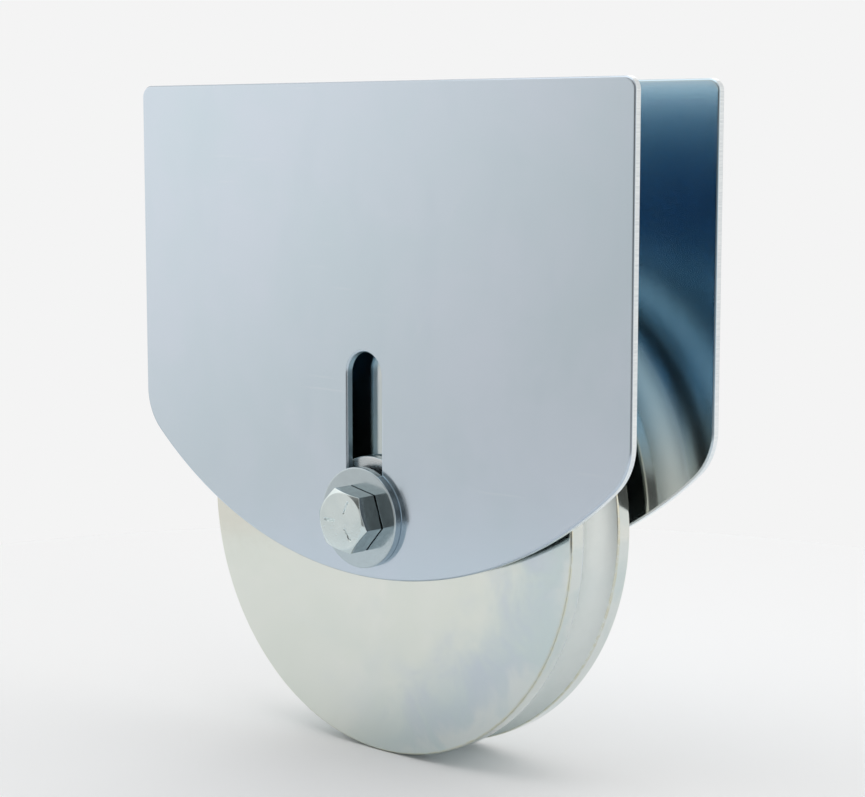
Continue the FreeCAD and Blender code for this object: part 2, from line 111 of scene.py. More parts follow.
def place(name, mesh, body, node):
    """Puts a mesh on its body in place of a solid, and prints how far the two boxes differ."""
    made = bpy.data.objects.new(name, mesh)
    bpy.context.scene.collection.objects.link(made)
    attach(made, body)
    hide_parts(node)
    spots = np.empty(len(mesh.vertices) * 3)
    mesh.vertices.foreach_get("co", spots)
    spots = spots.reshape(-1, 3)
    solid = np.array([list(corner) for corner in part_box(node)])
    apart = np.abs(np.stack([spots.min(axis=0), spots.max(axis=0)]) - solid).max() / MM
    print(f"{name}: {len(mesh.polygons)} faces, its box is within {apart:.3f} mm of the solid's")
    return made


print(f"edges of more than {math.degrees(SHARP_ANGLE):.0f} degrees are shaded sharp")

# %% [markdown]
# ## Profiles with eased corners
# No real metal edge is sharp, and an edge catches a line of light only if it has a small round. A
# Bevel modifier could add one, but here each corner of the profile is replaced by a short curve
# before it is turned, so the flat faces stay exactly flat. Two extra points beside each curve keep
# the shading of the flats clean.

# %% Eased profiles and turned pieces
EASE_STEPS = 6
SUPPORT = 0.6
SIDES = {"front": -1, "rear": 1}


def eased(corners, reach):
    """Rounds a closed outline: corner B becomes (1-t)^2 A + 2t(1-t) B + t^2 C, where A and C lie on
    the two sides at the distance reach from B. A reach of 0 keeps a point as it is, for arcs."""
    corners = np.asarray(corners, dtype=float)
    reach = np.broadcast_to(np.asarray(reach, dtype=float), len(corners))[:, None]
    back = np.roll(corners, 1, axis=0) - corners
    ahead = np.roll(corners, -1, axis=0) - corners
    start = corners + back * reach / np.linalg.norm(back, axis=1, keepdims=True)
    end = corners + ahead * reach / np.linalg.norm(ahead, axis=1, keepdims=True)
    t = np.linspace(0, 1, EASE_STEPS)[None, :, None]
    curve = (1 - t) ** 2 * start[:, None] + 2 * t * (1 - t) * corners[:, None] + t ** 2 * end[:, None]
    before = (start + SUPPORT * (start - corners))[:, None]
    after = (end + SUPPORT * (end - corners))[:, None]
    curve = np.concatenate([before, curve, after], axis=1)
    keep = (reach > 0) | (np.arange(curve.shape[1]) == 0)
    return curve[keep]


def turned(profile, columns):
    """Carries a profile of (r, y) round the Y axis: at angle a it goes to (r cos a, y, r sin a)."""
    angle = np.linspace(0, 2 * np.pi, columns, endpoint=False)
    radius, along = profile[:, :1], profile[:, 1:]
    grid = np.broadcast_arrays(radius * np.cos(angle), along, radius * np.sin(angle))
    return np.stack(grid, axis=-1)


print("pairs of pieces lie at", SIDES, "times their distance from the middle plane")

# %% [markdown]
# ## The cheek plates
# Each plate is laser-cut from 3 mm sheet: a straight top, straight sides and a shallow arc below,
# with an upright slot for the axle. It could be a curve with a bevel, but both the outline and the
# slot can be seen in full from the middle of the slot. So along each ray from there the wall of the
# slot and the outer edge are found by formula, and the face between them is a plain ruled surface.
# Deburring breaks every edge into a narrow bevel that is almost flat.

# %% Outline and slot as distances along a ray
PLATE_HALF_WIDTH, PLATE_TOP = 107.5, 140.0
ARC_CENTRE, ARC_RADIUS = 130.0, 150.0
TOP_CORNER, LOWER_CORNER = 4.0, 20.0
SLOT_RADIUS, SLOT_TOP = 7.6, 46.2
HUB = SLOT_TOP / 2
lower_corner_x = PLATE_HALF_WIDTH - LOWER_CORNER
lower_corner_z = ARC_CENTRE - math.sqrt((ARC_RADIUS - LOWER_CORNER) ** 2 - lower_corner_x ** 2)
outline_circles = {
    "arc": (0.0, ARC_CENTRE, ARC_RADIUS),
    "lower": (lower_corner_x, lower_corner_z, LOWER_CORNER),
    "top": (PLATE_HALF_WIDTH - TOP_CORNER, PLATE_TOP - TOP_CORNER, TOP_CORNER),
}


def to_circle(ray, circle):
    """Points on the far side of a circle and the directions away from its centre. The distance is
    b + sqrt(b^2 - m^2 + r^2): m goes from the hub to the centre, and b is its part along the ray."""
    x, z, radius = circle
    centre = np.array([x, z - HUB])
    along = ray @ centre
    reach = along + np.sqrt(np.maximum(along ** 2 - centre @ centre + radius ** 2, 0))
    points = ray * reach[:, None]
    return points, (points - centre) / radius


def to_line(ray, normal, distance):
    """Where each ray crosses the straight line at that distance from the hub, and its normal. The
    way along a ray is distance / (ray . normal); rays that face away are sent far off."""
    facing = ray @ np.array(normal)
    points = ray * (distance / np.where(facing > 1e-6, facing, 1e-6))[:, None]
    return points, np.broadcast_to(np.array(normal, dtype=float), points.shape)


def choose(angle, limits, pieces):
    """Takes each point and normal from the piece of the outline whose span of angles it lies in."""
    which = np.searchsorted(limits, angle)
    points = np.stack([piece[0] for piece in pieces])
    normals = np.stack([piece[1] for piece in pieces])
    row = np.arange(len(angle))
    return points[which, row], normals[which, row]


meeting_scale = ARC_RADIUS / (ARC_RADIUS - LOWER_CORNER)
meeting_x = lower_corner_x * meeting_scale
meeting_z = ARC_CENTRE + (lower_corner_z - ARC_CENTRE) * meeting_scale
outline_limits = np.array([
    math.atan2(meeting_z - HUB, meeting_x),
    math.atan2(lower_corner_z - HUB, PLATE_HALF_WIDTH),
    math.atan2(PLATE_TOP - TOP_CORNER - HUB, PLATE_HALF_WIDTH),
    math.atan2(PLATE_TOP - HUB, PLATE_HALF_WIDTH - TOP_CORNER),
])
slot_limits = np.array([math.atan2(-HUB, SLOT_RADIUS), math.atan2(SLOT_TOP - HUB, SLOT_RADIUS)])
print("outline pieces meet at", np.degrees(outline_limits).round(2), "degrees as seen from the slot")

# %% Rows and columns of a plate
PLATE_INSIDE, PLATE_OUTSIDE = 19.25, 22.25
PLATE_EDGE, EDGE_POWER, WALL_MARGIN = 0.5, 1.75, 0.15
FACE_SPANS = np.array([0.004, 0.03, 0.1, 0.2, 0.32, 0.45, 0.58, 0.7, 0.82, 0.92, 0.975, 0.997])
SPAN_COUNTS = (16, 52, 18, 24, 10, 16, 16)


def right_half_angles():
    """Ray angles from straight down to straight up, closest together where an outline is curved."""
    stops = np.sort(np.concatenate([[-np.pi / 2, np.pi / 2], outline_limits, slot_limits]))
    spans = zip(stops[:-1], stops[1:], SPAN_COUNTS)
    return np.concatenate([np.linspace(a, b, count, endpoint=False) for a, b, count in spans])


def plate_loops():
    """The outer edge and the slot's wall with their normals out of the metal: the right half, and
    then its mirror image."""
    angle = np.append(right_half_angles(), np.pi / 2)
    ray = np.stack([np.cos(angle), np.sin(angle)], axis=-1)
    edge = choose(angle, outline_limits, [
        to_circle(ray, outline_circles["arc"]), to_circle(ray, outline_circles["lower"]),
        to_line(ray, (1, 0), PLATE_HALF_WIDTH), to_circle(ray, outline_circles["top"]),
        to_line(ray, (0, 1), PLATE_TOP - HUB)])
    slot = choose(angle, slot_limits, [
        to_circle(ray, (0, 0, SLOT_RADIUS)), to_line(ray, (1, 0), SLOT_RADIUS),
        to_circle(ray, (0, SLOT_TOP, SLOT_RADIUS))])
    mirror = np.array([-1, 1])
    edge = [np.vstack([part, part[-2:0:-1] * mirror]) for part in edge]
    slot = [np.vstack([part, part[-2:0:-1] * mirror]) for part in slot]
    return edge[0], edge[1], slot[0], -slot[1]


def plate_section():
    """One trip round the thickness: (share of the way from slot to edge, inset from the wall, depth
    below the outer face). Each of the four edges has insets e(1 - cos^p) and depths e(1 - sin^p): a
    power of 1 would be a round and 2 a flat bevel, and a deburred edge lies between them."""
    thick = PLATE_OUTSIDE - PLATE_INSIDE
    bend = np.linspace(0, np.pi / 2, EASE_STEPS)
    inset = PLATE_EDGE * (1 - np.cos(bend) ** EDGE_POWER)
    depth = PLATE_EDGE * (1 - np.sin(bend) ** EDGE_POWER)
    wall = np.array([PLATE_EDGE + WALL_MARGIN, thick / 2, thick - PLATE_EDGE - WALL_MARGIN])
    flat = np.full(len(FACE_SPANS), PLATE_EDGE)
    at_slot, at_edge = np.zeros(EASE_STEPS), np.ones(EASE_STEPS)
    parts = [
        (at_slot, inset, depth), (FACE_SPANS, flat, flat * 0), (at_edge, inset[::-1], depth[::-1]),
        (np.ones(3), np.zeros(3), wall),
        (at_edge, inset, thick - depth), (FACE_SPANS[::-1], flat, flat * 0 + thick),
        (at_slot, inset[::-1], thick - depth[::-1]), (np.zeros(3), np.zeros(3), wall[::-1])]
    return [np.concatenate(column) for column in zip(*parts)]


print("a plate has", len(plate_section()[0]), "rows and", len(plate_loops()[0]), "columns")

# %% Plates as one closed grid each
ON_WALL = 0.02 * PLATE_EDGE


def plate_grid(side):
    """Rows of the section over columns of the loops: (1 - s)(slot - inset n) + s(edge - inset n)."""
    edge, edge_normal, slot, slot_normal = plate_loops()
    share, inset, depth = (column[:, None, None] for column in plate_section())
    flat = (1 - share) * (slot - inset * slot_normal) + share * (edge - inset * edge_normal)
    across = np.broadcast_to(side * (PLATE_OUTSIDE - depth), flat.shape[:2] + (1,))
    return np.concatenate([flat[..., :1], across, flat[..., 1:] + HUB], axis=-1)


def lay_sheet(mesh):
    """Marks the cut walls, and the slot's own wall, with 1 and lays a UV map. Its u is the way that
    reflections are drawn out: along Z on the faces, across the rolling lines, and along the outline
    on the walls, across their grooves."""
    share, inset = plate_section()[:2]
    wall = inset < ON_WALL
    columns = len(mesh.vertices) // len(wall)
    for mark, rows in (("cut_edge", wall), ("slot_wall", wall & (share < 0.5))):
        values = np.repeat(rows.astype(float), columns)
        mesh.attributes.new(mark, "FLOAT", "POINT").data.foreach_set("value", values)
    spots = np.empty(len(mesh.vertices) * 3)
    mesh.vertices.foreach_get("co", spots)
    corner = np.empty(len(mesh.loops), dtype=np.int32)
    mesh.loops.foreach_get("vertex_index", corner)
    at_corner = spots.reshape(-1, 3)[corner]
    on_wall = np.stack([corner % columns * MM, at_corner[:, 1]], axis=-1)
    is_wall = np.repeat(wall & np.roll(wall, -1), columns * 4)[:, None]
    sheet = np.where(is_wall, on_wall, at_corner[:, [2, 0]])
    mesh.uv_layers.new(name="sheet").data.foreach_set("uv", sheet.ravel())


plates = {}
for side_name, side in SIDES.items():
    plate_name = f"{side_name}_cheek_plate"
    plate_mesh = skin(plate_name, plate_grid(side))
    lay_sheet(plate_mesh)
    plates[side_name] = place(plate_name, plate_mesh, "cheek_plates", f"{side_name}_plate")

# %% [markdown]
# ## The wheel
# The wheel is turned from a solid disc: flat faces, two narrow lands and between them the round
# groove that rides on the rail. A Screw modifier would turn the same profile. Working it out as an
# array lets the groove be a true arc with evenly spaced points and gives every arris its own small
# round.

# %% The grooved wheel
WHEEL_RADIUS, WHEEL_FACE = 80.0, 14.75
GROOVE_RADIUS, GROOVE_DEPTH = 10.5, 4.7
GROOVE_HALF_WIDTH = math.sqrt(GROOVE_RADIUS ** 2 - (GROOVE_RADIUS - GROOVE_DEPTH) ** 2)
WHEEL_BORE, CLIP_GROOVE, CLIP_FROM, CLIP_TO = 17.55, 18.5, 10.0, 11.6
RIM_BREAK, RIM_EASE, BORE_BREAK, BORE_EASE = 0.6, 0.3, 0.8, 0.25
LIP_EASE, CLIP_EASE = 0.45, 0.12
FACE_RINGS = (30, 45, 60, 72)
GROOVE_POINTS, LIP_GAP, WHEEL_COLUMNS = 46, 2, 420


def wheel_profile():
    """Half of the profile from the bore to the lip of the groove, then the groove's arc, and the
    first half again in the mirror of the middle plane. The arc's centre lies outside the rim:
    r = R + g - d - g cos a and y = g sin a. A gap at each end of the arc leaves room for the lip."""
    half = np.array([
        (WHEEL_BORE, CLIP_FROM, CLIP_EASE), (CLIP_GROOVE, CLIP_FROM, CLIP_EASE),
        (CLIP_GROOVE, CLIP_TO, CLIP_EASE), (WHEEL_BORE, CLIP_TO, CLIP_EASE),
        (WHEEL_BORE, WHEEL_FACE - BORE_BREAK, BORE_EASE),
        (WHEEL_BORE + BORE_BREAK, WHEEL_FACE, BORE_EASE),
        *[(ring, WHEEL_FACE, 0) for ring in FACE_RINGS],
        (WHEEL_RADIUS - RIM_BREAK, WHEEL_FACE, RIM_EASE),
        (WHEEL_RADIUS, WHEEL_FACE - RIM_BREAK, RIM_EASE),
        (WHEEL_RADIUS, GROOVE_HALF_WIDTH, LIP_EASE)])
    reach = math.asin(GROOVE_HALF_WIDTH / GROOVE_RADIUS)
    sweep = np.linspace(reach, -reach, GROOVE_POINTS)[LIP_GAP:-LIP_GAP]
    groove_radius = WHEEL_RADIUS + GROOVE_RADIUS - GROOVE_DEPTH - GROOVE_RADIUS * np.cos(sweep)
    groove = np.stack([groove_radius, GROOVE_RADIUS * np.sin(sweep), sweep * 0], axis=-1)
    full = np.vstack([half, groove, half[::-1] * np.array([1, -1, 1])])
    return eased(full[:, :2], full[:, 2])


wheel_mesh = skin("grooved_wheel", turned(wheel_profile(), WHEEL_COLUMNS))
wheel = place("grooved_wheel", wheel_mesh, "wheel_group", "wheel")

# %% [markdown]
# ## Collars and washers
# A stepped collar on each side keeps the bearings apart from the plates, and a heavy washer spreads
# the load of the bolt. Cylinders with a Bevel modifier would come close, but the eased profile of
# the wheel serves here too. A washer is stamped, so its outer edges are rolled over the most.

# %% Collars and washers
COLLAR_BORE, COLLAR_NOSE, COLLAR_RADIUS = 8.54, 11.0, 19.5
COLLAR_END, COLLAR_STEP, COLLAR_COLUMNS = 10.0, 15.75, 180
WASHER_BORE, WASHER_RADIUS, WASHER_TOP, WASHER_COLUMNS = 6.85, 16.5, 25.05, 240
collar_corners = [
    (COLLAR_BORE, COLLAR_END), (COLLAR_NOSE, COLLAR_END), (COLLAR_NOSE, COLLAR_STEP),
    (COLLAR_RADIUS, COLLAR_STEP), (COLLAR_RADIUS, PLATE_INSIDE), (COLLAR_BORE, PLATE_INSIDE)]
collar_ease = (0.2, 0.3, 0.25, 0.5, 0.5, 0.2)
washer_corners = [
    (WASHER_BORE, PLATE_OUTSIDE), (WASHER_RADIUS, PLATE_OUTSIDE),
    (WASHER_RADIUS, WASHER_TOP), (WASHER_BORE, WASHER_TOP)]
washer_ease = (0.15, 0.45, 0.4, 0.3)
collars, washers = {}, {}
for side_name, side in SIDES.items():
    to_side = np.array([1, side])
    collar_points = turned(eased(collar_corners, collar_ease) * to_side, COLLAR_COLUMNS)
    collar_mesh = skin("stepped_collar", collar_points)
    collars[side_name] = place(f"{side_name}_stepped_collar", collar_mesh, "axle_group",
                               f"{side_name}_collar")
    washer_points = turned(eased(washer_corners, washer_ease) * to_side, WASHER_COLUMNS)
    washer_mesh = skin("flat_washer", washer_points)
    washers[side_name] = place(f"{side_name}_flat_washer", washer_mesh, "axle_group",
                               f"{side_name}_washer")

# %% [markdown]
# ## The hexagon bolts
# The clamping bolt is a half-inch screw with a forged hexagon head on a thin round seat. The head
# could be a six-sided cylinder cut by a cone. In polar form it is one surface: at each angle the
# hexagon gives a radius, the cone gives the height at which the bevel starts, and the arcs on the
# flats follow by themselves. Three stamped ticks mark its strength. The same columns go on down the
# shank, where the radius follows a helix, so head and thread are one closed skin.

# %% Polar form of the bolt
HEAD_HALF_FLATS, HEAD_CORNER, HEAD_HEIGHT, HEAD_CROWN = 9.525, 0.35, 8.2, 9.225
BEVEL_SLOPE = math.tan(math.radians(30))
SECTOR = math.radians(60)
FLAT_COLUMNS, EVEN_SHARE = 40, 0.35
TICK_FROM, TICK_TO, TICK_HALF_WIDTH, TICK_DEPTH = 2.9, 7.2, 0.22, 0.35
TICK_END_SOFT, TICK_SIDE_SOFT = 0.25, 0.2


def head_angles():
    """Angles of the columns, flat by flat from corner to corner: a share of even steps and, for the
    rest, a sine that draws them together towards the corners."""
    t = np.linspace(-1, 1, FLAT_COLUMNS, endpoint=False)
    within = SECTOR / 2 * (EVEN_SHARE * t + (1 - EVEN_SHARE) * np.sin(t * np.pi / 2))
    return (within[None, :] + SECTOR * (np.arange(6)[:, None] + 0.5)).ravel()


def hexagon(angle):
    """Radius of a hexagon with rounded corners: a / cos(d) on a flat, d being the angle from its
    middle, and on a corner c cos(e) + sqrt(q^2 - c^2 sin(e)^2), e being the angle from the corner,
    q its radius and c its centre."""
    from_middle = np.abs(np.mod(angle, SECTOR) - SECTOR / 2)
    from_corner = SECTOR / 2 - from_middle
    centre = (HEAD_HALF_FLATS - HEAD_CORNER) / math.cos(SECTOR / 2)
    rounded = centre * np.cos(from_corner) + np.sqrt(
        np.maximum(HEAD_CORNER ** 2 - (centre * np.sin(from_corner)) ** 2, 0))
    last_flat = math.atan((HEAD_HALF_FLATS - HEAD_CORNER) * math.tan(SECTOR / 2) / HEAD_HALF_FLATS)
    return np.where(from_middle <= last_flat, HEAD_HALF_FLATS / np.cos(from_middle), rounded)


def smooth(value, low, high):
    """A step from 0 at low to 1 at high along 3t^2 - 2t^3."""
    t = np.clip((value - low) / (high - low), 0, 1)
    return t * t * (3 - 2 * t)


def tick_depth(radius, angle, tick_angles):
    """Depth of the stamped ticks: a bar along each tick's own direction, r cos(turn) along it and
    r sin(turn) across it, with soft ends and sides."""
    turn = angle[None, :, None] - tick_angles[None, None, :]
    along = radius[:, :, None] * np.cos(turn)
    across = np.abs(radius[:, :, None] * np.sin(turn))
    bar = smooth(along, TICK_FROM - TICK_END_SOFT, TICK_FROM + TICK_END_SOFT)
    bar = bar * smooth(-along, -TICK_TO - TICK_END_SOFT, -TICK_TO + TICK_END_SOFT)
    bar = bar * smooth(-across, -TICK_HALF_WIDTH - TICK_SIDE_SOFT, -TICK_HALF_WIDTH)
    return TICK_DEPTH * bar.max(axis=2)


print("columns round each bolt:", len(head_angles()))

# %% Head and thread of the bolt
SEAT_RADIUS, SEAT_HEIGHT, BOLT_SEAT = 9.175, 0.4, WASHER_TOP
BOLT_RADIUS, BOLT_LENGTH, TIP_LENGTH = 6.35, 19.05, 1.2
HEAD_EASE, BEVEL_EASE, TOP_START, TOP_MARGIN, TOP_ROWS = 0.15, 0.1, 0.25, 0.35, 44
THREAD_PITCH, THREAD_DEPTH, THREAD_ROWS = 1.954, 1.1, 130
THREAD_STEEPNESS, THREAD_CREST, THREAD_FROM, THREAD_FULL = 1.3, 0.15, 0.6, 2.4


def eased_edge(a, b, c):
    """Eases the edge b between a and c, each a pair (radius, height) for every column, along the
    same curve as the turned profiles."""
    t = np.linspace(0, 1, EASE_STEPS)[:, None]
    return [(1 - t) ** 2 * p + 2 * t * (1 - t) * q + t ** 2 * r for p, q, r in zip(a, b, c)]


def head_rows(angle, tick_angles):
    """Rows of (radius, height above the seat) from the middle of the head over the bevel, down the
    flats and in under the head. The bevel starts at height - (hexagon - crown) times its slope."""
    flat = hexagon(angle)
    even = np.ones_like(flat)
    bevel_start = HEAD_HEIGHT - np.maximum(flat - HEAD_CROWN, 0) * BEVEL_SLOPE
    top_radius = np.linspace(TOP_START, HEAD_CROWN - TOP_MARGIN, TOP_ROWS)[:, None] * even
    top_height = HEAD_HEIGHT - tick_depth(top_radius, angle, tick_angles)
    crown = eased_edge((even * (HEAD_CROWN - HEAD_EASE), even * HEAD_HEIGHT),
                       (even * HEAD_CROWN, even * HEAD_HEIGHT),
                       (even * HEAD_CROWN + HEAD_EASE, even * HEAD_HEIGHT - HEAD_EASE * BEVEL_SLOPE))
    shoulder = eased_edge((flat - BEVEL_EASE, bevel_start + BEVEL_EASE * BEVEL_SLOPE),
                          (flat, bevel_start), (flat, bevel_start - HEAD_EASE))
    down = np.linspace(0, 1, 6)[1:-1, None]
    foot_height = SEAT_HEIGHT + HEAD_EASE
    side = (down * 0 + flat, (1 - down) * (bevel_start - HEAD_EASE) + down * foot_height)
    foot = eased_edge((flat, even * foot_height), (flat, even * SEAT_HEIGHT),
                      (flat - HEAD_EASE, even * SEAT_HEIGHT))
    seat_top = (even[None] * SEAT_RADIUS, even[None] * SEAT_HEIGHT)
    seat = eased_edge((even * SEAT_RADIUS, even * HEAD_EASE), (even * SEAT_RADIUS, even * 0),
                      (even * (SEAT_RADIUS - HEAD_EASE), even * 0))
    inward = np.linspace(0.05, 0.95, 4)[:, None]
    under_radius = (1 - inward) * (SEAT_RADIUS - HEAD_EASE) + inward * BOLT_RADIUS
    under = (under_radius * even, inward * 0 * flat)
    return [(top_radius, top_height), crown, shoulder, side, foot, seat_top, seat, under]


def thread_rows(angle):
    """Rows of (radius, height) down the shank: the radius loses the thread's depth times a triangle
    wave of turns - depth / pitch with flat crests, which fades in under the head and at the tip."""
    depth = np.linspace(0, BOLT_LENGTH, THREAD_ROWS)[:, None]
    phase = np.mod(angle / (2 * np.pi) - depth / THREAD_PITCH, 1)
    cut = np.clip(np.abs(2 * phase - 1) * THREAD_STEEPNESS - THREAD_CREST, 0, 1)
    cut = cut * smooth(depth, THREAD_FROM, THREAD_FULL)
    cut = cut * smooth(-depth, -BOLT_LENGTH, -BOLT_LENGTH + TIP_LENGTH)
    tip = smooth(depth, BOLT_LENGTH - TIP_LENGTH, BOLT_LENGTH)
    return [(BOLT_RADIUS - THREAD_DEPTH * np.maximum(cut, tip), -depth * np.ones_like(angle))]


print(f"thread of {BOLT_LENGTH / THREAD_PITCH:.1f} turns in {THREAD_ROWS} rows")

# %% Bolts as one skin each
BOLT_TURNS = {"front": (-11.6, (63, 181, 306)), "rear": (38, (20, 140, 260))}


def bolt_points(side, head_turn, tick_angles):
    """Stands the polar rows on the Y axis, corners of the head at head_turn from +X towards +Z."""
    angle = head_angles()
    rows = head_rows(angle, np.radians(tick_angles) - math.radians(head_turn)) + thread_rows(angle)
    radius = np.vstack([row[0] for row in rows])
    along = side * (BOLT_SEAT + np.vstack([row[1] for row in rows]))
    world = angle + math.radians(head_turn)
    return np.stack([radius * np.cos(world), along, radius * np.sin(world)], axis=-1)


bolts = {}
for side_name, (head_turn, tick_angles) in BOLT_TURNS.items():
    points = bolt_points(SIDES[side_name], head_turn, tick_angles)
    bolt_mesh = skin("hexagon_bolt", points, loop_rows=False)
    bolts[side_name] = place(f"{side_name}_hexagon_bolt", bolt_mesh, "axle_group",
                             f"{side_name}_bolt")

# %% [markdown]
# ## Node materials
# Every finish here is a node tree on Object coordinates, so a pattern stays in the metal when a
# piece moves. The trees could be drawn by hand in the shader editor. In a script a few helpers keep
# them short: one adds a node with its inputs, and the others stretch a noise, map a range, do one
# sum, mix two colours or measure one place.

# %% Helpers that add nodes
EVEN = (1, 1, 1)


def add(tree, kind, inputs=None, **settings):
    """Adds a node; inputs maps a socket's name or number to a value or to another node's output."""
    made = tree.nodes.new("ShaderNode" + kind)
    for key, value in settings.items():
        setattr(made, key, value)
    for key, value in (inputs or {}).items():
        if isinstance(value, bpy.types.NodeSocket):
            tree.links.new(value, made.inputs[key])
        else:
            made.inputs[key].default_value = value
    return made


def grain(tree, where, stretch, scale, detail=3.0, rough=0.55, warp=0.0):
    """Noise on stretched coordinates: a large factor makes the grain fine along that axis."""
    stretched = add(tree, "Mapping", {"Vector": where, "Scale": stretch}).outputs["Vector"]
    noise = {"Vector": stretched, "Scale": scale, "Detail": detail, "Roughness": rough}
    return add(tree, "TexNoise", {**noise, "Distortion": warp}).outputs["Fac"]


def ranged(tree, value, low, high, to_low=0.0, to_high=1.0):
    """Maps low..high to to_low..to_high along the smooth step 3t^2 - 2t^3."""
    limits = {"From Min": low, "From Max": high, "To Min": to_low, "To Max": to_high}
    made = add(tree, "MapRange", {"Value": value, **limits}, interpolation_type="SMOOTHSTEP")
    return made.outputs["Result"]


def maths(tree, operation, a, b=0.0):
    """One operation on two values, or on the first alone."""
    return add(tree, "Math", {0: a, 1: b}, operation=operation).outputs["Value"]


def plus(tree, a, b):
    """The sum of two values."""
    return maths(tree, "ADD", a, b)


def times(tree, a, b):
    """The product of two values, and so the place where two masks overlap."""
    return maths(tree, "MULTIPLY", a, b)


def mixed(tree, share, a, b):
    """Colour a where share is 0 and colour b where it is 1."""
    return add(tree, "Mix", {0: share, 6: a, 7: b}, data_type="RGBA").outputs[2]


print("noise without a direction is stretched by", EVEN)

# %% Helpers that measure places and close a finish
def measured(tree, operation, a, b=(0, 0, 0)):
    """A number from vectors: a dot product, a distance, or the length of the first alone."""
    return add(tree, "VectorMath", {0: a, 1: b}, operation=operation).outputs["Value"]


def scaled(tree, where, factors):
    """Coordinates times three factors."""
    return add(tree, "VectorMath", {0: where, 1: factors}, operation="MULTIPLY").outputs["Vector"]


def radius_of(tree, where):
    """Distance from the Y axis, the root of x^2 + z^2."""
    return measured(tree, "LENGTH", scaled(tree, where, (1, 0, 1)))


def part_along(tree, where, axis):
    """One coordinate, named by its letter."""
    return add(tree, "SeparateXYZ", {0: where}).outputs[axis]


def new_finish(name):
    """An empty material with its tree and its Object coordinates."""
    material = bpy.data.materials.new(name)
    material.use_nodes = True
    tree = material.node_tree
    tree.nodes.clear()
    return material, tree, add(tree, "TexCoord").outputs["Object"]


def close_finish(tree, colour, roughness, relief, depth, metallic=1.0, **extra):
    """Bump from relief, a height of 0..1 times depth in metres, then the shader and the output."""
    bump = add(tree, "Bump", {"Height": relief, "Distance": depth, "Strength": 1.0})
    inputs = {"Base Color": colour, "Roughness": roughness, "Metallic": metallic, **extra}
    shader = add(tree, "BsdfPrincipled", {**inputs, "Normal": bump.outputs["Normal"]})
    add(tree, "OutputMaterial", {"Surface": shader.outputs["BSDF"]})


def dress(material, *pieces):
    """Gives each piece this one material."""
    for piece in pieces:
        piece.data.materials.clear()
        piece.data.materials.append(material)
    print(material.name, "on", ", ".join(piece.name for piece in pieces))


print("lengths in materials are in metres, so a size in millimetres is multiplied by", MM)

# %% [markdown]
# ## Zinc on the plates
# Rolled sheet takes bright zinc with a bluish passivation: satin, slightly cloudy, with faint
# rolling lines along the sheet and a few hairline scratches from handling. A picture of zinc could
# be wrapped round it, but noise has no seams and stays sharp close up. The laser leaves fine grooves
# straight through the cut edges, where the zinc sits brighter. Low down the walls are brighter still,
# which is painted light, and the slot's own wall is dimmer, which is painted shade; two point
# attributes say where the walls are. Rolling draws reflections out across its lines, so the shader is
# anisotropic along the sheet's own UV map. The inner faces, where two sheets mirror each other, are
# painted darker and bluer as shade, with painted light above the axle and at the top, and a neutral
# grey beside and below the axle.

# %% Tones of the sheet
# Some of these tones are painted light and shade: those of the inner faces, and the low and slot
# tones of the cut walls.
SHEET_TONES = {
    "sheet": (0.525, 0.628, 0.705, 1), "cloud": (0.554, 0.639, 0.731, 1),
    "drift": (0.5, 0.6, 0.685, 1), "scratch": (0.74, 0.78, 0.82, 1),
    "inner": (0.385, 0.545, 0.65, 1), "inner drift": (0.44, 0.595, 0.705, 1),
    "bloom": (0.5, 0.645, 0.75, 1), "film with painted light": (0.48, 0.67, 0.81, 1),
    "neutral grey low down": (0.56, 0.585, 0.57, 1), "painted light at the top": (0.515, 0.66, 0.74, 1),
    "cut hollow": (0.6, 0.67, 0.71, 1), "cut ridge": (0.78, 0.84, 0.87, 1),
    "painted light low on the cut": (0.88, 0.94, 0.97, 1), "slot wall painted shade": (0.51, 0.65, 0.74, 1),
}
SCRATCH_TURN = (0, 1.05, 0)


def hairlines(tree, where):
    """Scratches: the peaks of two noises that are drawn out along X, one of them turned."""
    level = ranged(tree, grain(tree, where, (26, 1, 900), 1, 2, 0.4, 0.3), 0.715, 0.745)
    tilted = add(tree, "Mapping", {"Vector": where, "Rotation": SCRATCH_TURN}).outputs["Vector"]
    slanting = ranged(tree, grain(tree, tilted, (22, 1, 1300), 1, 2, 0.4, 0.2), 0.73, 0.76)
    return maths(tree, "MAXIMUM", level, slanting)


def inner_tone_painted_light_and_shade(tree, where, drifts, height):
    """Tone of the inner faces, painted darker and bluer as shade: drifts with a fine bloom, mixed by
    height with painted light and a neutral grey.
    """
    tones = SHEET_TONES
    # Painted shade: the inner faces darker and bluer than the outer faces.
    tone = mixed(tree, ranged(tree, drifts, 0.3, 0.7), tones["inner"], tones["inner drift"])
    bloom = grain(tree, where, EVEN, 700, 4, 0.7)
    tone = mixed(tree, ranged(tree, bloom, 0.5, 0.75, 0, 0.35), tone, tones["bloom"])
    # Painted light: lighter above the axle and at the top, with a neutral grey beside and below the
    # axle.
    tone = mixed(tree, ranged(tree, height, 0.035, 0.085, 1, 0), tone, tones["film with painted light"])
    tone = mixed(tree, ranged(tree, height, 0.012, 0.05, 1, 0), tone, tones["neutral grey low down"])
    return mixed(tree, ranged(tree, height, 0.095, 0.135), tone, tones["painted light at the top"])


def cut_tone_painted_light_and_shade(tree, grooves, height, slot_wall):
    """Tone of the cut walls: bright ridges between the grooves, painted light that makes them
    brighter low down, and painted shade that makes the slot's wall dimmer."""
    tones = SHEET_TONES
    tone = mixed(tree, ranged(tree, grooves, 0.3, 0.7), tones["cut hollow"], tones["cut ridge"])
    # Painted light: the cut walls brighter low down.
    tone = mixed(tree, ranged(tree, height, 0, 0.07, 0.75, 0), tone, tones["painted light low on the cut"])
    # Painted shade: the slot's own wall dimmer.
    return mixed(tree, slot_wall, tone, tones["slot wall painted shade"])


print("tones of the sheet:", ", ".join(SHEET_TONES))

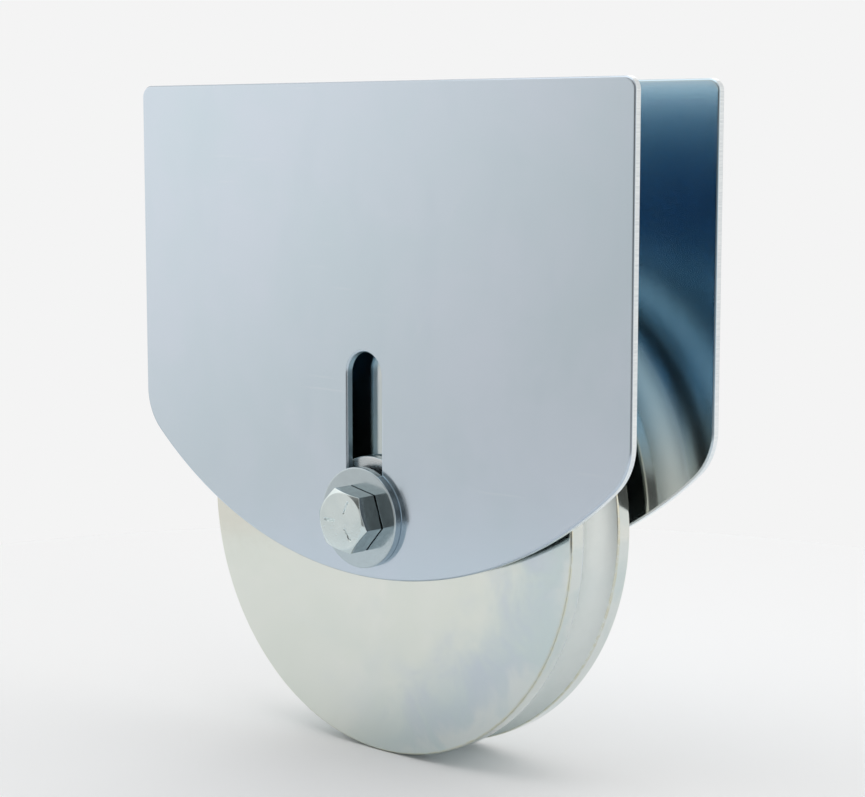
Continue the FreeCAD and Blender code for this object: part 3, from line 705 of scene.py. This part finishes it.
# %% Zinc-plated sheet
def zinc_sheet():
    """Clouds, drifts and scratches on the faces, other tones by the masks of inner face and wall.
    Relief is a sum of rolling lines, satin grain and, on the walls, the grooves of the cut."""
    material, tree, where = new_finish("zinc_sheet")
    clouds = grain(tree, where, EVEN, 16, 4, 0.6, 0.4)
    drifts = grain(tree, where, (1, 1, 0.35), 60, 3, 0.5, 0.8)
    rolling = grain(tree, where, (6, 1, 420), 1, 4, 0.7)
    satin = grain(tree, where, EVEN, 2600, 2, 0.5)
    grooves = grain(tree, where, (2400, 90, 2400), 1, 3, 0.6)
    edge = add(tree, "Attribute", attribute_name="cut_edge").outputs["Fac"]
    slot_wall = add(tree, "Attribute", attribute_name="slot_wall").outputs["Fac"]
    height = part_along(tree, where, "Z")
    off_middle = maths(tree, "ABSOLUTE", part_along(tree, where, "Y"))
    inner = ranged(tree, off_middle, (PLATE_INSIDE + 0.25) * MM, (PLATE_INSIDE + 0.55) * MM, 1, 0)

    tone = mixed(tree, ranged(tree, clouds, 0.32, 0.7), SHEET_TONES["sheet"], SHEET_TONES["cloud"])
    tone = mixed(tree, ranged(tree, drifts, 0.5, 0.78, 0, 0.3), tone, SHEET_TONES["drift"])
    tone = mixed(tree, times(tree, hairlines(tree, where), 0.1), tone, SHEET_TONES["scratch"])
    tone = mixed(tree, inner, tone, inner_tone_painted_light_and_shade(tree, where, drifts, height))
    tone = mixed(tree, edge, tone, cut_tone_painted_light_and_shade(tree, grooves, height, slot_wall))
    fine_rough = ranged(tree, satin, 0.3, 0.7, 0, 0.02)
    rough = plus(tree, ranged(tree, clouds, 0.3, 0.7, 0.14, 0.165), fine_rough)
    rough = plus(tree, rough, times(tree, edge, 0.14))
    rough = maths(tree, "SUBTRACT", rough, times(tree, inner, 0.025))
    relief = plus(tree, times(tree, rolling, 0.08), times(tree, satin, 0.03))
    relief = plus(tree, relief, times(tree, times(tree, grooves, edge), 0.6))
    drawn_out = add(tree, "Tangent", direction_type="UV_MAP", uv_map="sheet").outputs["Tangent"]
    close_finish(tree, tone, rough, relief, 0.00002, Anisotropic=0.8, Tangent=drawn_out)
    return material


dress(zinc_sheet(), *plates.values())

# %% [markdown]
# ## Zinc on the wheel
# The wheel is turned before it is plated, so very fine rings show under the zinc. Its passivation is
# warmer, cream with a green cast, with thin bluish veils where the film is thicker. A broad bluish
# patch on the lower right, a bluish patch on the upper half where the face is seen through the slot,
# and a bluish line along the front lip are painted shade. The groove is cut with a coarser tool and
# stays matt, and rinse water leaves ochre lines along the rear lip and the arrises of the rim. Masks
# could be painted by hand, but formulas of radius, width and direction put each mark in its place and
# need no picture.

# %% Places on the wheel
ARRIS_FROM = WHEEL_RADIUS + WHEEL_FACE - RIM_BREAK - 0.3
# Painted shade: where the bluish patches lie, to the lower right and behind the slot.
SHADE_SIDE = (0.88, 0, -0.475)
SLOT_SHADE_CENTRE, SLOT_SHADE_SQUEEZE = (-0.006, 0, 0.0165), (1, 0, 0.5)


def turning_lines(tree, where, pitch):
    """Fine lathe lines: noise along radius and Y only, so it is the same all the way round."""
    spot = {0: radius_of(tree, where), 1: part_along(tree, where, "Y")}
    return grain(tree, add(tree, "CombineXYZ", spot).outputs["Vector"], EVEN, 1 / pitch, 2, 0.6)


def rim_lines(tree, radius, off_middle):
    """Two narrow masks: the arrises of the rim, where radius plus distance from the middle plane is
    greatest, and the lips, within half a millimetre of the circle where groove and land meet."""
    arris = ranged(tree, plus(tree, radius, off_middle), ARRIS_FROM * MM, (ARRIS_FROM + 0.3) * MM)
    inward = maths(tree, "SUBTRACT", WHEEL_RADIUS * MM, radius)
    sideways = maths(tree, "SUBTRACT", off_middle, GROOVE_HALF_WIDTH * MM)
    gap = add(tree, "CombineXYZ", {0: inward, 1: sideways}).outputs["Vector"]
    return arris, ranged(tree, measured(tree, "LENGTH", gap), 0.0003, 0.0008, 1, 0)


def groove_and_lands(tree, radius, off_middle):
    """Two masks by width and radius: the groove within its lips, and the lands on either side."""
    lip = GROOVE_HALF_WIDTH + 0.05
    groove = ranged(tree, off_middle, (lip - 0.6) * MM, lip * MM, 1, 0)
    groove = times(tree, groove, ranged(tree, radius, 0.069, 0.07))
    on_rim = ranged(tree, radius, (WHEEL_RADIUS - 0.4) * MM, (WHEEL_RADIUS - 0.1) * MM)
    return groove, times(tree, on_rim, ranged(tree, off_middle, lip * MM, (lip + 0.3) * MM))


def film_and_painted_shade(tree, where, radius, patches):
    """Where the wheel turns bluish: a broad patch to the lower right between hub and rim, thinner
    towards the rim, which is painted shade; thin veils of film anywhere; and a patch on the upper
    half, where the face is seen through the slot, which is painted shade too. Edges wander along the
    patches."""
    wander = ranged(tree, patches, 0.2, 0.8, -0.012, 0.012)
    loose_radius = plus(tree, radius, wander)
    to_lower_right = measured(tree, "DOT_PRODUCT", where, SHADE_SIDE)
    # Painted shade: a broad bluish patch to the lower right, thinner towards the rim.
    film = ranged(tree, loose_radius, 0.038, 0.072)
    film = times(tree, film, ranged(tree, to_lower_right, 0.004, 0.058))
    film = times(tree, film, ranged(tree, loose_radius, 0.071, 0.083, 1, 0.4))
    veils = ranged(tree, grain(tree, where, EVEN, 17, 3, 0.55, 0.6), 0.52, 0.75, 0, 0.4)
    film = maths(tree, "MAXIMUM", film, veils)
    # Painted shade: a bluish patch where the face is seen through the slot.
    from_slot_shade = measured(tree, "DISTANCE", scaled(tree, where, SLOT_SHADE_SQUEEZE), SLOT_SHADE_CENTRE)
    cloud = ranged(tree, plus(tree, from_slot_shade, wander), 0.008, 0.024, 1, 0)
    return maths(tree, "MAXIMUM", film, cloud)


print(f"arrises of the rim: radius plus width over {ARRIS_FROM:.2f} mm")

# %% Zinc-plated turned wheel
# The film tones colour thin veils and also the patches of painted shade.
WHEEL_TONES = {
    "cream": (0.715, 0.755, 0.7, 1), "pale cream": (0.765, 0.79, 0.745, 1),
    "green film": (0.57, 0.66, 0.665, 1), "blue film": (0.565, 0.63, 0.685, 1),
    "groove": (0.735, 0.785, 0.775, 1), "land": (0.68, 0.72, 0.69, 1),
    # The front lip tone is painted shade; the rear lip and ochre tones are stain.
    "front lip painted shade": (0.6, 0.67, 0.71, 1), "rear lip": (0.61, 0.61, 0.49, 1),
    "ochre": (0.64, 0.65, 0.53, 1),
}


def zinc_turned():
    """Cream clouds under a bluish film and patches of painted shade, with an even matt groove, duller
    lands, a broken line of painted shade along the front lip and broken lines of stain along the rear
    lip and arrises. Relief is a sum of lathe rings and specks."""
    material, tree, where = new_finish("zinc_turned")
    tones = WHEEL_TONES
    radius = radius_of(tree, where)
    along = part_along(tree, where, "Y")
    off_middle = maths(tree, "ABSOLUTE", along)
    rings = turning_lines(tree, where, 0.0004)
    clouds = grain(tree, where, EVEN, 26, 4, 0.6, 0.5)
    patches = grain(tree, where, EVEN, 48, 4, 0.6, 0.5)
    speck = grain(tree, where, EVEN, 420, 2, 0.5)
    broken = ranged(tree, grain(tree, where, EVEN, 420, 4, 0.7), 0.35, 0.62, 0.2, 0.95)
    arris, lip = rim_lines(tree, radius, off_middle)
    groove, land = groove_and_lands(tree, radius, off_middle)

    tone = mixed(tree, ranged(tree, clouds, 0.3, 0.72), tones["cream"], tones["pale cream"])
    film = mixed(tree, ranged(tree, patches, 0.38, 0.66), tones["green film"], tones["blue film"])
    # Painted shade: the bluish patches on the lower right and behind the slot.
    tone = mixed(tree, film_and_painted_shade(tree, where, radius, patches), tone, film)
    tone = mixed(tree, times(tree, groove, 0.85), tone, tones["groove"])
    tone = mixed(tree, times(tree, land, 0.3), tone, tones["land"])
    # Painted shade: a bluish line along the front lip; the rear lip keeps an ochre stain.
    rear_side = ranged(tree, along, -0.001, 0.001)
    lip_stain_and_shade = mixed(tree, rear_side, tones["front lip painted shade"], tones["rear lip"])
    tone = mixed(tree, times(tree, lip, broken), tone, lip_stain_and_shade)
    tone = mixed(tree, times(tree, arris, broken), tone, tones["ochre"])
    fine_rough = ranged(tree, speck, 0.4, 0.7, 0, 0.03)
    rough = plus(tree, ranged(tree, clouds, 0.3, 0.7, 0.1, 0.14), fine_rough)
    rough = plus(tree, rough, times(tree, groove, 0.42))
    relief = plus(tree, times(tree, rings, 0.35), times(tree, speck, 0.15))
    close_finish(tree, tone, rough, relief, 0.0000025)
    return material


dress(zinc_turned(), wheel)

# %% [markdown]
# ## Zinc on the bolt and washers
# Small hardware is plated in a barrel, where the pieces knock against each other: the zinc is
# bright, and covered with small dents. The flats of the head are painted a darker mottled grey as
# shade, while its bevel stays bright, and the crevice above its seat is painted near black as shade.
# Dents could be sculpted one by one. A cell pattern as bump gives hundreds at once, and the masks
# reuse the head's formulas.

# %% Barrel-plated hardware
# Painted shade: near black in the crevice where the head meets its seat.
CREVICE_SHADE = (0.1, 0.115, 0.125, 1)
# The third tone of each is darker: for random specks, and on the flats of a bolt head as painted
# shade.
HARDWARE_TONES = {
    "bolt_zinc": ((0.6, 0.705, 0.725, 1), (0.67, 0.765, 0.775, 1), (0.43, 0.485, 0.505, 1)),
    "washer_zinc": ((0.49, 0.585, 0.63, 1), (0.53, 0.63, 0.665, 1), (0.46, 0.545, 0.585, 1)),
}


def head_masks(tree, where):
    """Two masks on the head for painted shade: its flats, which lie outside the crown and below the
    bevel's cone of height + slope times radius, and the crevice just above the seat."""
    radius = radius_of(tree, where)
    outward = maths(tree, "ABSOLUTE", part_along(tree, where, "Y"))
    cone = BOLT_SEAT + HEAD_HEIGHT + HEAD_CROWN * BEVEL_SLOPE
    on_cone = plus(tree, outward, times(tree, radius, BEVEL_SLOPE))
    flats = ranged(tree, radius, (HEAD_CROWN + 0.15) * MM, (HEAD_CROWN + 0.3) * MM)
    flats = times(tree, flats, ranged(tree, on_cone, (cone - 0.14) * MM, (cone - 0.05) * MM, 1, 0))
    crevice = ranged(tree, outward, (BOLT_SEAT + 0.02) * MM, (BOLT_SEAT + 0.06) * MM)
    below = ranged(tree, outward, (BOLT_SEAT + 0.38) * MM, (BOLT_SEAT + 0.5) * MM, 1, 0)
    return flats, times(tree, crevice, below)


def zinc_barrel(name, rough_low, rough_high):
    """Bright zinc with dents and darker specks, and painted shade on the flats of a head and in its
    crevice.
    """
    material, tree, where = new_finish(name)
    dark, light, wear_and_shade = HARDWARE_TONES[name]
    cells = {"Vector": where, "Scale": 520.0, "Randomness": 1.0}
    dents = ranged(tree, add(tree, "TexVoronoi", cells).outputs["Distance"], 0, 0.35)
    clouds = grain(tree, where, EVEN, 90, 4, 0.6, 0.4)
    speck = grain(tree, where, EVEN, 1500, 3, 0.6)
    mottle = grain(tree, where, EVEN, 430, 4, 0.65)
    flats, crevice = head_masks(tree, where)
    shaded_flats_tone = mixed(tree, ranged(tree, mottle, 0.3, 0.72, 0, 0.55), wear_and_shade, dark)

    tone = mixed(tree, ranged(tree, clouds, 0.3, 0.7), dark, light)
    tone = mixed(tree, ranged(tree, speck, 0.62, 0.78, 0, 0.25), tone, wear_and_shade)
    # Painted shade on the flats of a bolt head; the same mask gives a washer's outer ring its darker
    # tone.
    tone = mixed(tree, flats, tone, shaded_flats_tone)
    # Painted shade: the crevice above the seat near black.
    tone = mixed(tree, crevice, tone, CREVICE_SHADE)
    fine_rough = ranged(tree, speck, 0.4, 0.7, 0, 0.03)
    rough = plus(tree, ranged(tree, clouds, 0.3, 0.7, rough_low, rough_high), fine_rough)
    relief = plus(tree, times(tree, dents, 0.3), times(tree, speck, 0.2))
    close_finish(tree, tone, rough, relief, 0.00003)
    return material


dress(zinc_barrel("bolt_zinc", 0.1, 0.14), *bolts.values())
dress(zinc_barrel("washer_zinc", 0.11, 0.16), *washers.values())

# %% [markdown]
# ## Steel, rubber and nylon inside the hub
# The axle and collars are plain turned steel, the races are ground, the circlips are blackened
# spring steel, the seals are nitrile rubber and the cages are natural nylon. They could be rebuilt
# as the outer pieces were, but their solids are right as they are, so they keep their meshes and
# only get finishes.

# %% Hub finishes
def hub_metal(name, dark, light, rough_low, rough_high, pitch, depth):
    """Plain metal with lathe or grinding lines at that pitch, in metres, and handling marks."""
    material, tree, where = new_finish(name)
    lines = turning_lines(tree, where, pitch)
    clouds = grain(tree, where, EVEN, 140, 3, 0.6)
    speck = grain(tree, where, EVEN, 1800, 2, 0.5)
    tone = mixed(tree, ranged(tree, clouds, 0.3, 0.7), dark, light)
    fine_rough = ranged(tree, speck, 0.4, 0.7, 0, 0.04)
    rough = plus(tree, ranged(tree, lines, 0.35, 0.65, rough_low, rough_high), fine_rough)
    close_finish(tree, tone, rough, lines, depth)
    return material


def hub_polymer(name, dark, light, rough_low, rough_high, scale, depth):
    """Moulded rubber or nylon: a fine matt skin with slow changes of tone."""
    material, tree, where = new_finish(name)
    skin_grain = grain(tree, where, EVEN, scale, 3, 0.6)
    clouds = grain(tree, where, EVEN, 110, 3, 0.6)
    tone = mixed(tree, ranged(tree, clouds, 0.3, 0.7), dark, light)
    rough = ranged(tree, skin_grain, 0.3, 0.7, rough_low, rough_high)
    close_finish(tree, tone, rough, skin_grain, depth, metallic=0.0)
    return material


turned_steel = hub_metal("lathe_turned_steel", (0.49, 0.55, 0.58, 1), (0.57, 0.62, 0.645, 1),
                         0.2, 0.3, 0.00025, 6e-6)
ground_steel = hub_metal("ground_steel", (0.6, 0.61, 0.62, 1), (0.68, 0.68, 0.685, 1),
                         0.1, 0.17, 0.00008, 1e-6)
spring_steel = hub_metal("blackened_spring", (0.05, 0.05, 0.055, 1), (0.09, 0.09, 0.095, 1),
                         0.38, 0.5, 0.0005, 6e-6)
seal_rubber = hub_polymer("nitrile_rubber", (0.012, 0.012, 0.012, 1), (0.024, 0.023, 0.022, 1),
                          0.5, 0.68, 1400, 8e-6)
cage_nylon = hub_polymer("natural_nylon", (0.5, 0.43, 0.31, 1), (0.6, 0.53, 0.4, 1),
                         0.4, 0.52, 900, 6e-6)
hub_finishes = {
    "axle": turned_steel, "ring": ground_steel, "balls": ground_steel, "circlip": spring_steel,
    "seal": seal_rubber, "cage": cage_nylon,
}
for node_name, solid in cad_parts.items():
    kind = node_name.split("_")[-1]
    if kind in hub_finishes:
        dress(hub_finishes[kind], solid)
dress(turned_steel, *collars.values())

# %% [markdown]
# ## Floor and studio light
# Bright metal is only as good as what it reflects. Lamps on stands would do, but here the studio is
# a sky of soft patches, because its light on the floor can then be summed: a plain grey room, a tall
# bright panel on the left, wide ones behind, a ceiling, and dark flags on the camera's side that
# draw the facets of the bolt. No place in it is darker than black cloth. The camera itself sees an
# even pale background. The metal sees the panels, whose mean is close to that background, because
# zinc that mirrors one even tone looks like grey plastic. A wide soft sun gives the floor a gentle
# shadow, and the floor's colour is worked out so that the lit floor renders at the background's
# level.

# %% Studio sky
BACKGROUND = 0.905
ROOM, DARKEST = 0.7, 0.11
WARM_LIGHT = np.array([1.05, 1.0, 0.965])
PATCHES = {
    "tall panel on the left": ((-0.85, -0.453, 0.27), 0.83, 0.97, 0.46),
    "pale ground in front": ((-0.507, -0.543, -0.669), 0.83, 0.906, 0.13),
    "wide panel behind on the right": ((0.67, 0.74, 0.0), 0.3, 0.95, 0.25),
    "ceiling": ((-0.1, -0.1, 0.99), 0.45, 0.95, 0.25),
    "narrow panel on the right": ((0.978, -0.05, 0.202), 0.8, 0.95, 0.3),
    "dark ring round the camera": ((0.715, -0.691, -0.1), 0.935, 0.985, -0.4),
    "dark flag overhead": ((0.05, -0.75, 0.66), 0.86, 0.95, -0.57),
    "dark flag above the camera": ((0.62, -0.71, 0.334), 0.9, 0.975, -0.46),
    "dark flag left of the camera": ((0.308, -0.949, -0.07), 0.93, 0.98, -0.42),
    "dim corner beside the panel": ((-0.566, -0.73, 0.38), 0.955, 0.985, -0.22),
    "raised panel behind on the left": ((-0.6, 0.72, 0.35), 0.85, 0.96, 1.3),
}


def sky_level(directions):
    """The studio's brightness along unit vectors: the room plus each patch, which is its amount
    times a smooth step of the cosine to its middle, and nowhere under the darkest level."""
    level = np.full(len(directions), ROOM)
    for towards, low, high, amount in PATCHES.values():
        level = level + amount * smooth(directions @ np.array(towards), low, high)
    return np.maximum(level, DARKEST)


def light_on_floor(count=200):
    """Mean of the sky over the upper half, weighted by the cosine to the vertical: with heights of
    sqrt(u) for even steps of u, each direction carries the same weight."""
    steps = (np.arange(count) + 0.5) / count
    up, turn = (part.ravel() for part in np.meshgrid(steps, steps * 2 * np.pi))
    flat = np.sqrt(1 - up)
    directions = np.stack([flat * np.cos(turn), flat * np.sin(turn), np.sqrt(up)], axis=-1)
    return sky_level(directions).mean()


studio = bpy.data.worlds.new("studio")
bpy.context.scene.world = studio
studio.use_nodes = True
sky = studio.node_tree
sky.nodes.clear()
towards_sky = add(sky, "TexCoord").outputs["Generated"]
sky_value = ROOM
for towards, low, high, amount in PATCHES.values():
    cosine = measured(sky, "DOT_PRODUCT", towards_sky, towards)
    sky_value = plus(sky, ranged(sky, cosine, low, high, 0, amount), sky_value)
sky_value = maths(sky, "MAXIMUM", sky_value, DARKEST)
panels = add(sky, "Background", {"Color": (*WARM_LIGHT, 1), "Strength": sky_value})
plain = add(sky, "Background", {"Color": (1, 1, 1, 1), "Strength": BACKGROUND})
camera_ray = add(sky, "LightPath").outputs["Is Camera Ray"]
both = {0: camera_ray, 1: panels.outputs["Background"], 2: plain.outputs["Background"]}
add(sky, "OutputWorld", {"Surface": add(sky, "MixShader", both).outputs["Shader"]})
floor_from_sky = light_on_floor()
print(f"sky light on the floor: {floor_from_sky:.3f}, background: {BACKGROUND}")
print("patches:", ", ".join(PATCHES))

# %% Sun and floor
SUN_STRENGTH, SUN_WIDTH = 0.12, math.radians(60)
SUN_TILT = (math.radians(12), math.radians(-12), 0)
FLOOR_RADIUS, FLOOR_POINTS = 0.4, 96
sun = bpy.data.objects.new("soft_sun", bpy.data.lights.new("soft_sun", "SUN"))
bpy.context.scene.collection.objects.link(sun)
sun.rotation_euler = SUN_TILT
sun.data.energy = SUN_STRENGTH * math.pi
sun.data.angle = SUN_WIDTH
sun_on_floor = SUN_STRENGTH * math.cos(SUN_TILT[0]) * math.cos(SUN_TILT[1])
floor_colour = BACKGROUND / (floor_from_sky * WARM_LIGHT + sun_on_floor)

floor_angle = np.linspace(0, 2 * np.pi, FLOOR_POINTS, endpoint=False)
floor_rim = np.stack([np.cos(floor_angle), np.sin(floor_angle), 0 * floor_angle], axis=-1)
floor_points = floor_rim * FLOOR_RADIUS + np.array([0, 0, cad_box[0][2]])
floor_mesh = bpy.data.meshes.new("studio_floor")
floor_mesh.from_pydata(floor_points.tolist(), [], [list(range(FLOOR_POINTS))])
floor = bpy.data.objects.new("studio_floor", floor_mesh)
bpy.context.scene.collection.objects.link(floor)
floor_finish, floor_tree = new_finish("pale_floor")[:2]
floor_shader = add(floor_tree, "BsdfDiffuse", {"Color": (*floor_colour, 1)})
add(floor_tree, "OutputMaterial", {"Surface": floor_shader.outputs["BSDF"]})
dress(floor_finish, floor)
print("floor colour", floor_colour.round(3))

# %% [markdown]
# ## Camera
# The photograph looks from the right, slightly above, with a long lens. A camera could be set by
# eye, but its place, turn and focal length were solved from the outlines of the plates and the
# wheel. The plates mirror each other, so light may bounce between them more often than is usual.

# %% Camera
camera = bpy.data.objects.new("camera", bpy.data.cameras.new("camera"))
bpy.context.scene.collection.objects.link(camera)
camera.location = (0.46812, -0.50565, 0.12415)
camera.rotation_euler = (math.radians(82.76), 0, math.radians(42.19))
camera.data.lens = 87.43
camera.data.sensor_width = 36
camera.data.sensor_fit = "HORIZONTAL"
bpy.context.scene.camera = camera
bpy.context.scene.cycles.glossy_bounces = 12
bpy.context.scene.view_settings.view_transform = "Standard"
print("camera at", tuple(camera.location))
